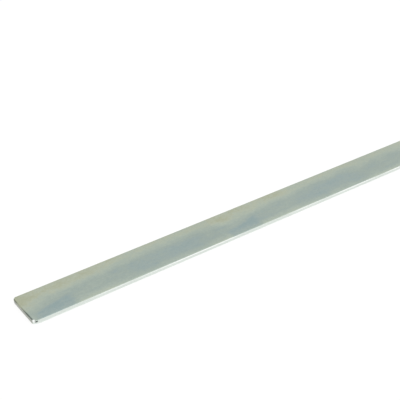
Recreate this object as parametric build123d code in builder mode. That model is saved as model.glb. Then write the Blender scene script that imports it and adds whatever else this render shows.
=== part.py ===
"""Zinc-plated steel flat bar, a one-metre length of stock with press-parted ends.

One solid.  The bar lies along X on its wide face, with the middle of its underside at the origin.
"""
from build123d import *
import os
from math import radians, tan

# The rolled section, in millimetres
bar_length = 1000.0
bar_width = 25.0
bar_thickness = 3.0
long_edge_radius = 0.5

# The ends, parted by a press tool that comes down on the top face.
# From the top down, such an end has a rounded rollover, where the tool draws the face down with it,
# then a smooth upright land, where the tool shears, then a fracture that leans back under the land.
end_corner_radius = 2.2
tool_overhang = 0.25
rollover_reach = 0.7
rollover_depth = 0.5
land_depth = 1.0
fracture_lean = 4.0
lower_edge_break = 0.12

# The tool's outline runs past the bar's sides, so its corner arcs meet them at an angle.
corner_centre_x = bar_length / 2 - end_corner_radius
corner_centre_y = bar_width / 2 + tool_overhang - end_corner_radius
land_bottom = bar_thickness - rollover_depth - land_depth
fracture_setback = (land_bottom - lower_edge_break) * tan(radians(fracture_lean))
waste_margin = end_corner_radius

# The metal that the tool takes away at the +X end: its cut edge, swept round the tool's outline.
with BuildPart() as parting_waste:
    with BuildLine() as tool_outline:
        left_corner = CenterArc((corner_centre_x, corner_centre_y), end_corner_radius, 90, -90)
        right_corner = CenterArc((corner_centre_x, -corner_centre_y), end_corner_radius, 0, -90)
        Line(left_corner @ 1, right_corner @ 0)
    with BuildSketch(Plane(origin=left_corner @ 0, x_dir=(0, 1, 0), z_dir=(1, 0, 0))):
        with BuildLine():
            rollover_centre = (-rollover_reach, bar_thickness - rollover_depth)
            rollover = EllipticalCenterArc(rollover_centre, rollover_reach, rollover_depth, 0, arc_size=90)
            Polyline(
                rollover @ 0,
                (0, land_bottom),
                (-fracture_setback, lower_edge_break),
                (-fracture_setback - lower_edge_break, 0),
                (-fracture_setback - lower_edge_break, -waste_margin),
                (waste_margin, -waste_margin),
                (waste_margin, bar_thickness + waste_margin),
                (-rollover_reach, bar_thickness + waste_margin),
                rollover @ 1,
            )
        make_face()
    sweep(path=tool_outline.wire())

with BuildPart() as flat_bar:
    with BuildSketch(Plane.YZ):
        with Locations((0, bar_thickness / 2)):
            RectangleRounded(bar_width, bar_thickness, long_edge_radius)
    extrude(amount=bar_length / 2, both=True)
    add(parting_waste.part, mode=Mode.SUBTRACT)
    add(parting_waste.part, rotation=(0, 0, 180), mode=Mode.SUBTRACT)

flat_bar.part.label = "flat_bar"
os.makedirs("parts", exist_ok=True)
export_step(flat_bar.part, "parts/flat_bar.step")
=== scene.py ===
import bpy
import math
from mathutils import Euler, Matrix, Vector


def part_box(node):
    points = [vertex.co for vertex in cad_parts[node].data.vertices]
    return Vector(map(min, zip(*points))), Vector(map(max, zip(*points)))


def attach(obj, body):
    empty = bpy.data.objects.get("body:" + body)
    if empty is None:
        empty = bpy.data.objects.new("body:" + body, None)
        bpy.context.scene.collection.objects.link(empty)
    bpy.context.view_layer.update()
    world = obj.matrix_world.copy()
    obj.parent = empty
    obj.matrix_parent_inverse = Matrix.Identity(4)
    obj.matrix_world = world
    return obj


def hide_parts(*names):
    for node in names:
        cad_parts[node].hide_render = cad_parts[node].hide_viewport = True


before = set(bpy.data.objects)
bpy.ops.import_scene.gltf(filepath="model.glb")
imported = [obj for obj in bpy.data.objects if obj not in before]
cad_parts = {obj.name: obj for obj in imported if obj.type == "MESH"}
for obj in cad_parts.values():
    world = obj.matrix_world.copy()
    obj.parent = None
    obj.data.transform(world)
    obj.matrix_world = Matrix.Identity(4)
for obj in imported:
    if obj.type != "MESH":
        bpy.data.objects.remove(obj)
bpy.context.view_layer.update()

# ---------------------------------------------------------------- the bar
# One length of steel flat, rolled as a single piece with softened long edges, zinc plated and passivated.
# A press tool parted it from a longer length: each end has a rollover at the top, a smooth sheared land
# under it and a rough fracture that leans back to the underside.
MM = 0.001
bar_low, bar_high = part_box("flat_bar")
# The rollover's rake and widening are shares of its depth and reach
bar_sizes = {
    "Length": bar_high.x - bar_low.x,
    "Width": bar_high.y - bar_low.y,
    "Thickness": bar_high.z - bar_low.z,
    "Long edge radius": 0.5 * MM,
    "Left corner radius": 2.2 * MM,
    "Right corner radius": 2.6 * MM,
    "Corner breakout": 0.7 * MM,
    "Tool overhang": 0.25 * MM,
    "Rollover reach": 0.7 * MM,
    "Rollover depth": 0.5 * MM,
    "Rollover rake": 0.5,
    "Rollover widening": 0.25,
    "Land depth": 1.0 * MM,
    "Fracture setback": 0.1 * MM,
    "Lower edge break": 0.12 * MM,
    "Line wander": 0.5 * MM,
    "Fracture grain": 0.06 * MM,
    "Land scoring": 0.012 * MM,
    "Hollow setback": 0.4 * MM,
    "Hollow height": 2.05 * MM,
    "Hollow reach": 1.1 * MM,
    "Hollow rise": 0.495 * MM,
    "Hollow depth": 0.15 * MM,
}
bar_seed = 4

# Rows of the skin, from the middle of the underside, round an edge, to the middle of the top face
rows = {"underside": 5, "lower round": 6, "fracture": 9, "land": 5, "rollover": 10, "top face": 6}
# Stations of the skin in a quarter of its outline, from the middle of a side to the middle of an end
stations = {"side": 236, "approach": 12, "corner": 14, "end": 80}
quarters = 4
approach_length = 3 * MM
# How the line between land and fracture wanders, in waves to the millimetre
line_waves = 0.4
# How close two points of the skin are when they are one
weld_distance = 0.001 * MM
# The angle from which an edge shades as sharp
sharp_angle = math.radians(20)


class Measure:
    """A value that changes over a piece, held by a node's output. Sums on it add the nodes they need."""

    def __init__(self, socket):
        self.socket = socket
        self.tree = socket.id_data

    def __add__(self, other):
        return maths("ADD", self, other)

    def __sub__(self, other):
        return maths("SUBTRACT", self, other)

    def __rsub__(self, other):
        return maths("SUBTRACT", other, self)

    def __mul__(self, other):
        return maths("MULTIPLY", self, other)

    def __truediv__(self, other):
        return maths("DIVIDE", self, other)

    def __abs__(self):
        return maths("ABSOLUTE", self)

    __radd__ = __add__
    __rmul__ = __mul__


def add_node(tree, kind, inputs=None, **settings):
    """Adds a node, sets its properties, and fills its sockets, by name or place, with values or links."""
    made = tree.nodes.new(kind)
    for name, setting in settings.items():
        setattr(made, name, setting)
    for socket, given in (inputs or {}).items():
        if isinstance(given, Measure):
            given = given.socket
        if isinstance(given, bpy.types.NodeSocket):
            tree.links.new(given, made.inputs[socket])
        else:
            made.inputs[socket].default_value = given
    return made


def maths(operation, *terms):
    """Does one operation on measures and plain numbers, in the tree that the measures are in."""
    tree = next(term.tree for term in terms if isinstance(term, Measure))
    made = add_node(tree, "ShaderNodeMath", dict(enumerate(terms)), operation=operation)
    return Measure(made.outputs[0])


def ramp(value, start, end, low, high):
    """Goes from low to high as value goes from start to end, and stays level outside them."""
    sockets = {"Value": value, "From Min": start, "From Max": end, "To Min": low, "To Max": high}
    return Measure(add_node(value.tree, "ShaderNodeMapRange", sockets).outputs["Result"])


def band(value, rise, fall):
    """Whole between a rise and a fall, each given by where it starts and ends, and none outside them."""
    return ramp(value, *rise, 0, 1) * ramp(value, *fall, 1, 0)


def soft_step(value, start, end):
    """Rises from none to whole between two values, easing in and out."""
    sockets = {"Value": value, "From Min": start, "From Max": end}
    made = add_node(value.tree, "ShaderNodeMapRange", sockets, interpolation_type="SMOOTHSTEP")
    return Measure(made.outputs["Result"])


def noise(place, per_mm, detail, seed=None):
    """Noise from 0 to 1, with about so many waves to the millimetre along each axis."""
    tree = place.id_data
    waves = add_node(tree, "ShaderNodeVectorMath", {0: place, 1: [each / MM for each in per_mm]},
                     operation="MULTIPLY")
    sockets = {"Vector": waves.outputs[0], "Scale": 1, "Detail": detail}
    if seed is None:
        return Measure(add_node(tree, "ShaderNodeTexNoise", sockets).outputs[0])
    sockets["W"] = seed
    return Measure(add_node(tree, "ShaderNodeTexNoise", sockets, noise_dimensions="4D").outputs[0])


def point(x, y, z):
    return add_node(x.tree, "ShaderNodeCombineXYZ", {"X": x, "Y": y, "Z": z}).outputs[0]


def quarter_round(height, foot, rise, reach):
    """How far a quarter round has drawn in at a height: none at its foot, reach where it has risen."""
    share = ramp(height, foot, foot + rise, 0, 1)
    return reach * (1 - maths("SQRT", 1 - share * share))


def ends_of_runs(counts):
    """Where each run of counts ends, as a share of them all."""
    total, ends, reached = sum(counts.values()), {}, 0
    for name, count in counts.items():
        reached += count
        ends[name] = reached / total
    return ends


def fill_stops(ramp_node, stops):
    """Fills a colour ramp with colours, each at its share of the way along."""
    elements = ramp_node.color_ramp.elements
    while len(elements) < len(stops):
        elements.new(0.5)
    for element, (share, colour) in zip(elements, stops.items()):
        element.position = share
        element.color = colour


# How far round a corner the finish of the cut begins to show, and where it is whole
cut_begins = {"right": 0.55, "left": 0.35}
cut_whole = {"right": 0.9, "left": 0.75}
# How far round a right corner the breakout stays whole
breakout_whole = 0.3
# Where the side's finish rises off the underside, in radians round the lower edge
side_rise = (0.1, 0.6)
# Where the painted highlight on a corner rises, in shares of the corner, and fades, in radians round the
# rollover
corner_highlight_rise = (0.1, 0.4)
corner_highlight_fall = (1.0, 1.5)
# How dark the painted reflection along the rollover is, across an end from its right corner to its left
# one
end_reflection_darkness = {0.0: 0.72, 0.12: 0.7, 0.2: 0.8, 0.3: 0.78, 0.65: 0.1, 0.78: 0.1, 0.92: 0.65, 1.0: 0.45}
# Where the painted dark reflection rises, in shares of all the rows above the land, and where it fades, in
# radians round the rollover, and by how much both climb on a run from near the middle of an end to its
# right corner
reflection_rise, reflection_rise_climb = (-0.05, 0), (0.032, 0.08)
reflection_fall, reflection_fall_climb = (0.7, 1.5), (0.24, 0)
climb_run = (-0.1, -1)
# The least that a mask takes to fade, in shares of all the rows
fade = 0.01


def rollover_painted_reflection(across_end, above_land, turn):
    """How dark the painted reflection on the rollover is, none to whole, at a place across, above and
    round it.
    """
    darkness = add_node(turn.tree, "ShaderNodeValToRGB", {0: ramp(across_end, -1, 1, 0, 1)})
    fill_stops(darkness, {share: [strength] * 3 + [1] for share, strength in end_reflection_darkness.items()})
    climb = ramp(across_end, *climb_run, 0, 1)
    rise_start, rise_end = (place + climb * by for place, by in zip(reflection_rise, reflection_rise_climb))
    fall_start, fall_end = (place + climb * by for place, by in zip(reflection_fall, reflection_fall_climb))
    in_reflection = ramp(above_land, rise_start, rise_end, 0, 1) * ramp(turn, fall_start, fall_end, 1, 0)
    return Measure(darkness.outputs["Color"]) * in_reflection


def roughened(skin, given, position):
    """Tears the fracture, scores the land as the tool's edge did going down, and sinks the hollows."""
    tree = skin.id_data

    def mask_of(name):
        made = add_node(tree, "GeometryNodeInputNamedAttribute", {"Name": name}, data_type="FLOAT")
        return Measure(made.outputs[0])

    tears = noise(position, per_mm=(2.2, 2.2, 2.2), detail=3, seed=given["Seed"]) * mask_of("fracture")
    scores = noise(position, per_mm=(4, 4, 0.3), detail=1, seed=given["Seed"]) * mask_of("land")
    depth = (tears * given["Fracture grain"] + scores * given["Land scoring"]
             + mask_of("hollow") * given["Hollow depth"])
    normal = add_node(tree, "GeometryNodeInputNormal").outputs[0]
    offset = add_node(tree, "ShaderNodeVectorMath", {0: normal, "Scale": depth * -1}, operation="SCALE")
    made = add_node(tree, "GeometryNodeSetPosition", {"Geometry": skin, "Offset": offset.outputs[0]})
    return made.outputs[0]


def finished(skin, material):
    """Shades the skin smooth, but for the edges where the tool left the sides, and gives it its metal."""
    tree = skin.id_data
    edge_angle = add_node(tree, "GeometryNodeInputMeshEdgeAngle").outputs["Unsigned Angle"]
    sharp = add_node(tree, "FunctionNodeCompare", {"A": edge_angle, "B": sharp_angle},
                     operation="GREATER_THAN")
    creased = add_node(tree, "GeometryNodeStoreNamedAttribute", {
        "Geometry": skin, "Name": "sharp_edge", "Value": sharp.outputs[0],
    }, data_type="BOOLEAN", domain="EDGE")
    smooth = add_node(tree, "GeometryNodeSetShadeSmooth", {"Geometry": creased.outputs[0]})
    realized = add_node(tree, "GeometryNodeRealizeInstances", {"Geometry": smooth.outputs[0]})
    clad = add_node(tree, "GeometryNodeSetMaterial", {
        "Geometry": realized.outputs[0], "Material": material,
    })
    return clad.outputs[0]


def make_bar_tree(material):
    tree = bpy.data.node_groups.new("flat_bar_skin", "GeometryNodeTree")
    tree.interface.new_socket("Geometry", in_out="OUTPUT", socket_type="NodeSocketGeometry")
    for name, size in bar_sizes.items():
        tree.interface.new_socket(name, in_out="INPUT", socket_type="NodeSocketFloat").default_value = size
    tree.interface.new_socket("Seed", in_out="INPUT", socket_type="NodeSocketInt").default_value = bar_seed
    inputs = add_node(tree, "NodeGroupInput").outputs
    given = {name: Measure(inputs[name]) for name in (*bar_sizes, "Seed")}
    length, width, thickness = given["Length"], given["Width"], given["Thickness"]
    edge_radius = given["Long edge radius"]
    lower_break = given["Lower edge break"]
    position = add_node(tree, "GeometryNodeInputPosition").outputs[0]

    # A flat sheet of stations and rows, to be wrapped round the bar
    sheet = add_node(tree, "GeometryNodeMeshGrid", {
        "Size X": 1, "Size Y": 1,
        "Vertices X": quarters * sum(stations.values()) + 1, "Vertices Y": sum(rows.values()) + 1,
    })
    place = add_node(tree, "ShaderNodeSeparateXYZ", {0: position}).outputs
    around = (Measure(place["X"]) + 0.5) * quarters
    through = Measure(place["Y"]) + 0.5
    row_end, station_end = ends_of_runs(rows), ends_of_runs(stations)
    wall_foot, parting_line, wall_top = (row_end[name] for name in ("lower round", "fracture", "land"))
    quarter = maths("PINGPONG", around, 1)
    angle = around * (math.pi / 2)
    to_end = maths("SIGN", maths("SINE", angle))
    to_left = maths("SIGN", maths("COSINE", angle))

    def by_side(right, left):
        """One value on the bar's right side, and another on its left."""
        return ramp(to_left, -1, 1, right, left)

    # The tool struck with a rake, so across each end the rollover goes from deep and tight at the left
    # corner to shallow and wide at the right one
    at_end = ramp(quarter, station_end["approach"], station_end["corner"], 0, 1)
    across_end = to_left * ramp(quarter, station_end["corner"], station_end["end"], 1, 0)
    rollover_depth = given["Rollover depth"] * (1 + given["Rollover rake"] * (across_end * at_end))
    to_right = (1 - across_end) * soft_step(at_end, 0, 1)
    rollover_reach = given["Rollover reach"] * (1 + given["Rollover widening"] * to_right)
    corner_radius = by_side(given["Right corner radius"], given["Left corner radius"])

    # Height of each row
    rollover_foot = thickness - rollover_depth
    land_bottom = rollover_foot - given["Land depth"]
    lower_turn = ramp(through, row_end["underside"], wall_foot, 0, math.pi / 2)
    upper_turn = ramp(through, wall_top, row_end["rollover"], 0, math.pi / 2)
    height = (edge_radius * (1 - maths("COSINE", lower_turn))
              + ramp(through, wall_foot, parting_line, 0, land_bottom - edge_radius)
              + ramp(through, parting_line, wall_top, 0, given["Land depth"])
              + rollover_depth * maths("SINE", upper_turn))

    # How far the sides and the ends have drawn in at that height
    from_middle = abs(height - thickness / 2)
    side_in = quarter_round(from_middle, thickness / 2 - edge_radius, edge_radius, edge_radius)
    end_in = (quarter_round(height, rollover_foot, rollover_depth, rollover_reach)
              + ramp(height, lower_break, land_bottom, given["Fracture setback"], 0)
              + ramp(height, 0, lower_break, lower_break, 0))

    # The tool's outline at that height, and where its corner arc meets the bar's side
    arc = corner_radius - end_in
    centre_x = length / 2 - corner_radius
    centre_y = width / 2 + given["Tool overhang"] - corner_radius
    side_y = width / 2 - side_in
    meeting = maths("ARCSINE", maths("MINIMUM", 1, (side_y - centre_y) / arc))
    turn = ramp(quarter, station_end["approach"], station_end["corner"], meeting, 0)
    side_run = centre_x + arc * maths("COSINE", meeting)
    before_meeting = (ramp(quarter, 0, station_end["side"], side_run - approach_length, 0)
                      + ramp(quarter, station_end["side"], station_end["approach"], approach_length, 0))
    x = centre_x + arc * maths("COSINE", turn) - before_meeting
    past_meeting = x - side_run
    y = centre_y + arc * maths("SINE", turn)
    y = y - ramp(quarter, station_end["corner"], station_end["end"], 0, centre_y)

    # At the right corners the metal parted last, and broke away under the land
    near_corner = ramp(quarter, station_end["side"], station_end["approach"], 0, 1)
    near_corner = near_corner * ramp(at_end, breakout_whole, 1, 1, 0)
    broken = near_corner * by_side(given["Corner breakout"], 0) * ramp(height, 0, land_bottom, 1, 0)
    x = x - broken / 2
    y = y - broken

    # The two wide faces close in on the bar's middle line, where the stations of both sides meet
    inward = (ramp(through, 0, row_end["underside"], 1, 0)
              + ramp(through, row_end["rollover"], row_end["top face"], 0, 1))
    middle_x = ramp(quarter, 0, station_end["side"], 0, (length - width) / 2)
    x = x + inward * (middle_x - x)
    y = y * (1 - inward)

    # The other quarters are mirrored
    x = x * to_end
    y = y * to_left

    # The line between land and fracture wanders across each end
    wander = noise(point(x, y, 0), [line_waves] * 3, detail=2, seed=given["Seed"] * line_waves) - 0.5
    near_line = band(through, rise=(wall_foot, parting_line), fall=(parting_line, wall_top))
    worn_height = height + wander * near_line * at_end * given["Line wander"]

    # The small hollow beside each end corner, where the tool ran off the side
    up_hollow = (height - given["Hollow height"]) / given["Hollow rise"]
    along_hollow = (past_meeting + given["Hollow setback"]) / given["Hollow reach"]
    hollow = 1 - (up_hollow * up_hollow + along_hollow * along_hollow)

    # Masks that the finish reads, each from none to whole
    cut_face = soft_step(at_end, by_side(**cut_begins), by_side(**cut_whole))
    line_fade = (parting_line - fade, parting_line + fade)
    foot_fade = (row_end["underside"], row_end["underside"] + 2 * fade)
    off_underside = ramp(lower_turn, *side_rise, 0, 1)
    masks = {
        "land": cut_face * band(through, line_fade, (wall_top - fade, wall_top + 2 * fade)),
        "fracture": cut_face * band(through, foot_fade, line_fade),
        # The rollover mask places a painted dark reflection along the top of each end
        "rollover": cut_face * rollover_painted_reflection(across_end, through - wall_top, upper_turn),
        "long_side": ((1 - cut_face) * off_underside
                      * ramp(through, wall_top + fade, wall_top + 6 * fade, 1, 0)),
        # The highlight band places painted highlight streaks along the top of each side
        "highlight_band": band(through, (parting_line + 3 * fade, wall_top - 3 * fade),
                        (wall_top + 1.5 * fade, wall_top + 4.5 * fade)),
        # Where the lower round gets a painted reflection of the lit paper
        "lower_round_reflection": off_underside * ramp(through, wall_foot, wall_foot + 5 * fade, 1, 0),
        # The corner mask places a painted highlight on each corner arc
        "corner": (ramp(at_end, *corner_highlight_rise, 0, 1) * (1 - cut_face)
                   * ramp(through, parting_line - 5 * fade, wall_top, 0, 1)
                   * ramp(upper_turn, *corner_highlight_fall, 1, 0)),
        "hollow": maths("MAXIMUM", hollow, 0),
    }
    marked = sheet.outputs["Mesh"]
    for name, mask in masks.items():
        marked = add_node(tree, "GeometryNodeStoreNamedAttribute", {
            "Geometry": marked, "Name": name, "Value": mask,
        }, data_type="FLOAT", domain="POINT").outputs[0]
    wrapped = add_node(tree, "GeometryNodeSetPosition", {
        "Geometry": marked, "Position": point(x, y, worn_height),
    })
    outward = add_node(tree, "GeometryNodeFlipFaces", {"Mesh": wrapped.outputs[0]})
    closed = add_node(tree, "GeometryNodeMergeByDistance", {
        "Geometry": outward.outputs[0], "Distance": weld_distance,
    })
    rough = roughened(closed.outputs[0], given, position)
    tree.links.new(finished(rough, material), add_node(tree, "NodeGroupOutput").inputs[0])
    return tree


def srgb(red, green, blue):
    """A colour as it is seen, in 0 to 255, as the linear values that a shader takes."""
    return [((c / 255 + 0.055) / 1.055) ** 2.4 for c in (red, green, blue)] + [1]


def mix(share, first, second):
    """Mixes two colours, given as links or as lists."""
    mixer = add_node(share.tree, "ShaderNodeMix", {0: share, 6: first, 7: second}, data_type="RGBA")
    return mixer.outputs[2]


# The passive film's tints, from thin to thick, the rubbed and cut metal, and painted reflection, highlight
# and shade
film_tints = {
    0.0: srgb(150, 168, 167),
    0.15: srgb(157, 172, 169),
    0.33: srgb(162, 175, 167),
    0.5: srgb(169, 181, 171),
    0.7: srgb(176, 186, 172),
    0.85: srgb(180, 187, 169),
    1.0: srgb(175, 180, 157),
}
# Rubbed metal, painted paler as a reflection of the white paper
rubbed_and_reflecting_side = srgb(218, 225, 219)
# Painted highlight colour for the side's streaks and the corners
painted_highlight_colour = srgb(253, 255, 253)
land_metal = srgb(164, 168, 160)
torn_metal = srgb(178, 180, 172)
# Painted dark reflection for the rollovers
rollover_dark_reflection = srgb(50, 58, 52)
# Painted shade in the hollows
hollow_painted_shade = srgb(66, 74, 72)

# Each unevenness of the finish: its waves to the millimetre along, across and up the bar, and its detail
unevenness = {
    "drift": ((0.02, 0.1, 0.1), 3),
    "cloud": ((0.09, 0.22, 0.2), 4),
    "fleck": ((0.5, 0.7, 0.7), 3),
    "mottle": ((0.8, 0.8, 0.8), 4),
    "grain": ((3.2, 3.2, 3.2), 3),
    "roll lines": ((0.03, 5, 5), 3),
    "rubbing": ((0.06, 0.8, 0.8), 3),
    "painted_highlight": ((0.022, 0.1, 0), 1),
}

# The film drained from marks along the bar, each with a trail as long as the spacing. Places are in mm,
# along a trail from its mark or across the bar from its middle line, and films are shares of the thickest
drain_spacing = 131.0
drain_seed = 2
trail_wander = {"along": 8, "across": 5}
full_trails = (0.1, 0.7)
full_by_end = (10, 25)
# Thick film: a strip by the left edge, which floods the width at a full trail's mark, and thins after it
strip_front = 6.2
strip_edge = (-6.5, 3.6)
strip_film = 0.42
swell_film = 0.15
swell_end = (112, 130)
flood_start = (1, 14)
flood_fade = 18
flood_reach = 10
flood_softness = 7
flood_film = 0.26
# Thin film: a wedge by the right edge just after a full trail's mark
wedge_foot = -8.3
wedge_slope = 0.24
wedge_edge = (-1.8, 1.8)
wedge_start = (1, 6)
wedge_end = (25, 31)
# Between them the film is even, thinner in the middle of each trail, and thicker by the right edge
even_film = 0.33
thinning = 0.15
thinning_start = (52, 75)
thinning_end = (110, 128)
right_edge_film = 0.3
wedge_edge_loss = 0.06
right_edge = (-bar_sizes["Width"] / MM / 2, -6.5)


def film_thickness(along, across, fullness, by_end):
    """How thick the film is at a place along a trail and across the bar, by how full the trail is."""
    spread = fullness * maths("MAXIMUM", soft_step(along, *flood_start), by_end)
    spent = maths("EXPONENT", maths("MAXIMUM", along, 0) / -flood_fade)
    flood = spread * spent
    from_front = across - (strip_front - flood_reach * flood)
    edge_start, edge_end = strip_edge
    strength = (strip_film + swell_film * (fullness * (1 - soft_step(along, *swell_end)))
                + flood_film * (spread * maths("POWER", spent, 3)))
    thick = soft_step(from_front, edge_start, edge_end + flood_softness * flood) * strength
    under_wedge = along * wedge_slope + wedge_foot - across
    wedge = (soft_step(under_wedge, *wedge_edge) * soft_step(along, *wedge_start)
             * (1 - soft_step(along, *wedge_end)) * fullness)
    thinned = soft_step(along, *thinning_start) * (1 - soft_step(along, *thinning_end))
    even = (even_film - thinning * thinned) * (1 - wedge)
    by_edge = (right_edge_film - wedge * wedge_edge_loss) * (1 - soft_step(across, *right_edge))
    return even + by_edge + thick


# The side's painted highlight streaks: the noise level at which they start and are whole, and in mm, how
# far from an end
highlight_streak_level = (-0.15, 0.1)
highlight_streaks_from_end = (10, 90)
# How fast the painted shade in a hollow is whole, going in from its rim
hollow_shade_spread = 1.8
# How much each unevenness sways the film's thickness, the lightness and the bump
film_sway = {"cloud": 0.55, "fleck": 0.45}
shade_sway = {"mottle": 0.18, "grain": 0.18, "roll lines": 0.09}
bump_sway = {"grain": 0.6, "roll lines": 0.8}
bump_height = 0.006 * MM
# What else lightens and darkens the metal, and in mm, where
side_sway = 0.16
right_edge_light = 0.03
right_edge_fall = (-11, -6)
# Painted reflection of the paper on the lower round
lower_round_painted_light = 0.1
mark_darkness = 0.025
before_mark = (100, 125)
after_faint_mark = (20, 40)
satin = 0.36
mottle_roughness = 0.12
torn_roughness = 0.18


def make_zinc():
    material = bpy.data.materials.new("passivated_zinc")
    material.use_nodes = True
    tree = material.node_tree
    shader = tree.nodes["Principled BSDF"]

    def mask_of(name):
        return Measure(add_node(tree, "ShaderNodeAttribute", attribute_name=name).outputs["Fac"])

    place = add_node(tree, "ShaderNodeTexCoord").outputs["Object"]
    split = add_node(tree, "ShaderNodeSeparateXYZ", {0: place}).outputs
    x, y = Measure(split["X"]) / MM, Measure(split["Y"]) / MM
    uneven = {name: noise(place, *pattern) - 0.5 for name, pattern in unevenness.items()}

    def sway(shares):
        return sum(uneven[name] * share for name, share in shares.items())

    half_length = bar_sizes["Length"] / MM / 2
    from_start = x + half_length
    from_end = half_length - abs(x)
    along = maths("MODULO", from_start, drain_spacing) + uneven["drift"] * trail_wander["along"]
    across = y + uneven["drift"] * trail_wander["across"]

    # How full each trail is, by chance, and full at both ends of the bar
    trail = maths("FLOOR", from_start / drain_spacing)
    chance = add_node(tree, "ShaderNodeTexWhiteNoise", {"W": trail + drain_seed}, noise_dimensions="1D")
    by_end = 1 - soft_step(from_end, *full_by_end)
    fullness = maths("MAXIMUM", soft_step(Measure(chance.outputs["Value"]), *full_trails), by_end)

    film = film_thickness(along, across, fullness, by_end) + sway(film_sway)
    tints = add_node(tree, "ShaderNodeValToRGB", {0: film})
    fill_stops(tints, film_tints)

    # The side is rubbed metal, painted paler as a reflection of the paper, with painted highlight streaks
    side = mask_of("long_side")
    # Painted highlights: streaks along the top of each side, and a glint on each corner
    highlight_streaks = soft_step(uneven["painted_highlight"], *highlight_streak_level) * soft_step(from_end, *highlight_streaks_from_end)
    painted_highlight = maths("MAXIMUM", mask_of("corner"), highlight_streaks * side * mask_of("highlight_band"))
    # The side's paleness is partly rubbed metal and partly a painted reflection of the paper
    colour = mix(side, tints.outputs["Color"], rubbed_and_reflecting_side)
    colour = mix(painted_highlight, colour, painted_highlight_colour)
    # Each end is cut metal, and its rollover gets a painted dark reflection
    colour = mix(mask_of("land"), colour, land_metal)
    colour = mix(mask_of("fracture"), colour, torn_metal)
    colour = mix(mask_of("rollover"), colour, rollover_dark_reflection)
    # Painted shade in each hollow, besides its real dent
    colour = mix(maths("MINIMUM", 1, mask_of("hollow") * hollow_shade_spread), colour, hollow_painted_shade)

    # Lighter and darker metal: paler by the right edge, with a painted reflection of the paper on the
    # lower round, and duller before each mark and after a faint one
    near_mark = maths("MAXIMUM", soft_step(along, *before_mark),
                      1 - maths("MAXIMUM", fullness, soft_step(along, *after_faint_mark)))
    shade = (sway(shade_sway) + uneven["rubbing"] * side * side_sway
             + (1 - soft_step(y, *right_edge_fall)) * right_edge_light
             + mask_of("lower_round_reflection") * lower_round_painted_light - near_mark * mark_darkness)
    shaded = add_node(tree, "ShaderNodeVectorMath", {0: colour, "Scale": 1 + shade}, operation="SCALE")
    tree.links.new(shaded.outputs[0], shader.inputs["Base Color"])
    shader.inputs["Metallic"].default_value = 1
    roughness = satin + uneven["mottle"] * mottle_roughness + mask_of("fracture") * torn_roughness
    tree.links.new(roughness.socket, shader.inputs["Roughness"])
    bump = add_node(tree, "ShaderNodeBump", {"Height": sway(bump_sway), "Distance": bump_height})
    tree.links.new(bump.outputs[0], shader.inputs["Normal"])
    return material


def plain_mesh(made, modifier):
    """Bakes a piece's tree into a plain mesh, drops its grid's empty slot, and removes the modifier."""
    depsgraph = bpy.context.evaluated_depsgraph_get()
    mesh = bpy.data.meshes.new_from_object(made.evaluated_get(depsgraph), depsgraph=depsgraph)
    mesh.materials.pop(index=0)
    made.modifiers.remove(modifier)
    made.data = mesh
    mesh.name = made.name


scene = bpy.context.scene
bar = bpy.data.objects.new("zinc_plated_flat", bpy.data.meshes.new("flat_bar_sheet"))
scene.collection.objects.link(bar)
bar_tree = make_bar_tree(make_zinc())
skin = bar.modifiers.new("skin", "NODES")
skin.node_group = bar_tree
sockets = {item.name: item.identifier for item in bar_tree.interface.items_tree if item.in_out == "INPUT"}
for name, size in bar_sizes.items():
    skin[sockets[name]] = size
skin[sockets["Seed"]] = bar_seed
plain_mesh(bar, skin)
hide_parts("flat_bar")
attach(bar, "root")

# ---------------------------------------------------------------- the floor
# A sheet of white paper that the bar lies on, wide enough to fill any view, and clear from below, so that
# the underside shows there too. It lies a hair under the bar, so that no two faces share a plane.
floor_half = 40.0
floor_level = -0.05 * MM
paper_white = (0.85, 0.85, 0.85, 1)
paper_roughness = 0.9
paper_glow = 0.75
glow_strength = 1.1
floor = bpy.data.objects.new("floor", bpy.data.meshes.new("floor"))
corners = [(x * floor_half, y * floor_half, floor_level) for x, y in ((-1, -1), (1, -1), (1, 1), (-1, 1))]
floor.data.from_pydata(corners, [], [(0, 1, 2, 3)])
scene.collection.objects.link(floor)


def make_paper():
    """Paper that is seen, and mirrored in metal, as white, and still keeps the bar's shadow."""
    material = bpy.data.materials.new("white_paper")
    material.use_nodes = True
    tree = material.node_tree
    shader = tree.nodes["Principled BSDF"]
    shader.inputs["Base Color"].default_value = paper_white
    shader.inputs["Roughness"].default_value = paper_roughness
    shader.inputs["Specular IOR Level"].default_value = 0
    rays = add_node(tree, "ShaderNodeLightPath").outputs
    mirrored = maths("MAXIMUM", Measure(rays["Is Glossy Ray"]), Measure(rays["Is Transmission Ray"]))
    seen = maths("MAXIMUM", Measure(rays["Is Camera Ray"]), mirrored)
    glow = add_node(tree, "ShaderNodeEmission", {"Color": (1, 1, 1, 1), "Strength": glow_strength})
    glowing = add_node(tree, "ShaderNodeMixShader", {
        0: seen * paper_glow, 1: shader.outputs[0], 2: glow.outputs[0],
    })
    one_sided = add_node(tree, "ShaderNodeMixShader", {
        0: add_node(tree, "ShaderNodeNewGeometry").outputs["Backfacing"],
        1: glowing.outputs[0],
        2: add_node(tree, "ShaderNodeBsdfTransparent").outputs[0],
    })
    tree.links.new(one_sided.outputs[0], tree.nodes["Material Output"].inputs["Surface"])
    return material


floor.data.materials.append(make_paper())

# ---------------------------------------------------------------- the light
# A white studio, even all round but for a duller wall, which hangs low behind the bar, just above the
# horizon, and gives the metal something to mirror. One large soft lamp hangs high in front.
wall_dull, studio_white = 0.5, 1.0
wall_side = Vector((-0.5, 0.85, 0)).normalized()
# Where the wall's lower, upper and side edges fade, in parts of a direction whose length is 1
wall_lower_edge = (0.05, 0.12)
wall_upper_edge = (0.1, 0.5)
wall_side_edge = (-0.1, 0.7)


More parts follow.
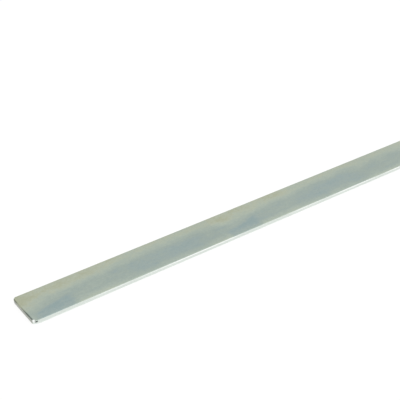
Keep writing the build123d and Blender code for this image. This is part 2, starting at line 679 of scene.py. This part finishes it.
def make_studio():
    world = bpy.data.worlds.new("studio")
    world.use_nodes = True
    tree = world.node_tree
    background = tree.nodes["Background"]
    towards = add_node(tree, "ShaderNodeTexCoord").outputs["Generated"]
    up = Measure(add_node(tree, "ShaderNodeSeparateXYZ", {0: towards}).outputs["Z"])
    facing = add_node(tree, "ShaderNodeVectorMath", {0: towards, 1: wall_side}, operation="DOT_PRODUCT")
    facing = Measure(facing.outputs["Value"])
    wall = ((1 - soft_step(up, *wall_upper_edge)) * soft_step(facing, *wall_side_edge)
            * soft_step(up, *wall_lower_edge))
    strength = ramp(wall, 0, 1, studio_white, wall_dull)
    tree.links.new(strength.socket, background.inputs["Strength"])
    background.inputs["Color"].default_value = (1, 1, 1, 1)
    return world


scene.world = make_studio()

lamp_place = Vector((0.45, -1.45, 0.75))
lamp_aim = Vector((-0.3, 0, 0))
lamp = bpy.data.objects.new("soft_lamp", bpy.data.lights.new("soft_lamp", "AREA"))
scene.collection.objects.link(lamp)
lamp.data.shape = "RECTANGLE"
lamp.data.size = 1.3
lamp.data.size_y = 0.8
lamp.data.energy = 3
lamp.location = lamp_place
lamp.rotation_euler = (lamp_aim - lamp_place).to_track_quat("-Z", "Y").to_euler()

# ---------------------------------------------------------------- the camera
# It stands on the bar's right, 20 bar widths from the near end, and looks down along the bar, which runs
# out of the frame. The middle of that end's top edge falls on a given pixel at a given depth.
frame_pixels = 400
lens_pixels = 913.5
camera_pitch = math.radians(32.66)
camera_turn = math.radians(-35.97)
end_pixel = Vector((22.60, 309.58))
end_depth = 19.836 * bar_sizes["Width"]

camera = bpy.data.objects.new("camera", bpy.data.cameras.new("camera"))
scene.collection.objects.link(camera)
camera.data.sensor_width = 36
camera.data.lens = camera.data.sensor_width * lens_pixels / frame_pixels
camera.data.clip_start = 0.01
camera.data.clip_end = 50
camera.rotation_euler = Euler((math.pi / 2 - camera_pitch, 0, camera_turn))
sight = Vector((
    (end_pixel.x - frame_pixels / 2) / lens_pixels,
    (frame_pixels / 2 - end_pixel.y) / lens_pixels,
    -1,
))
sight.rotate(camera.rotation_euler)
camera.location = Vector((bar_low.x, 0, bar_high.z)) - sight * end_depth
scene.camera = camera
scene.view_settings.view_transform = "Standard"
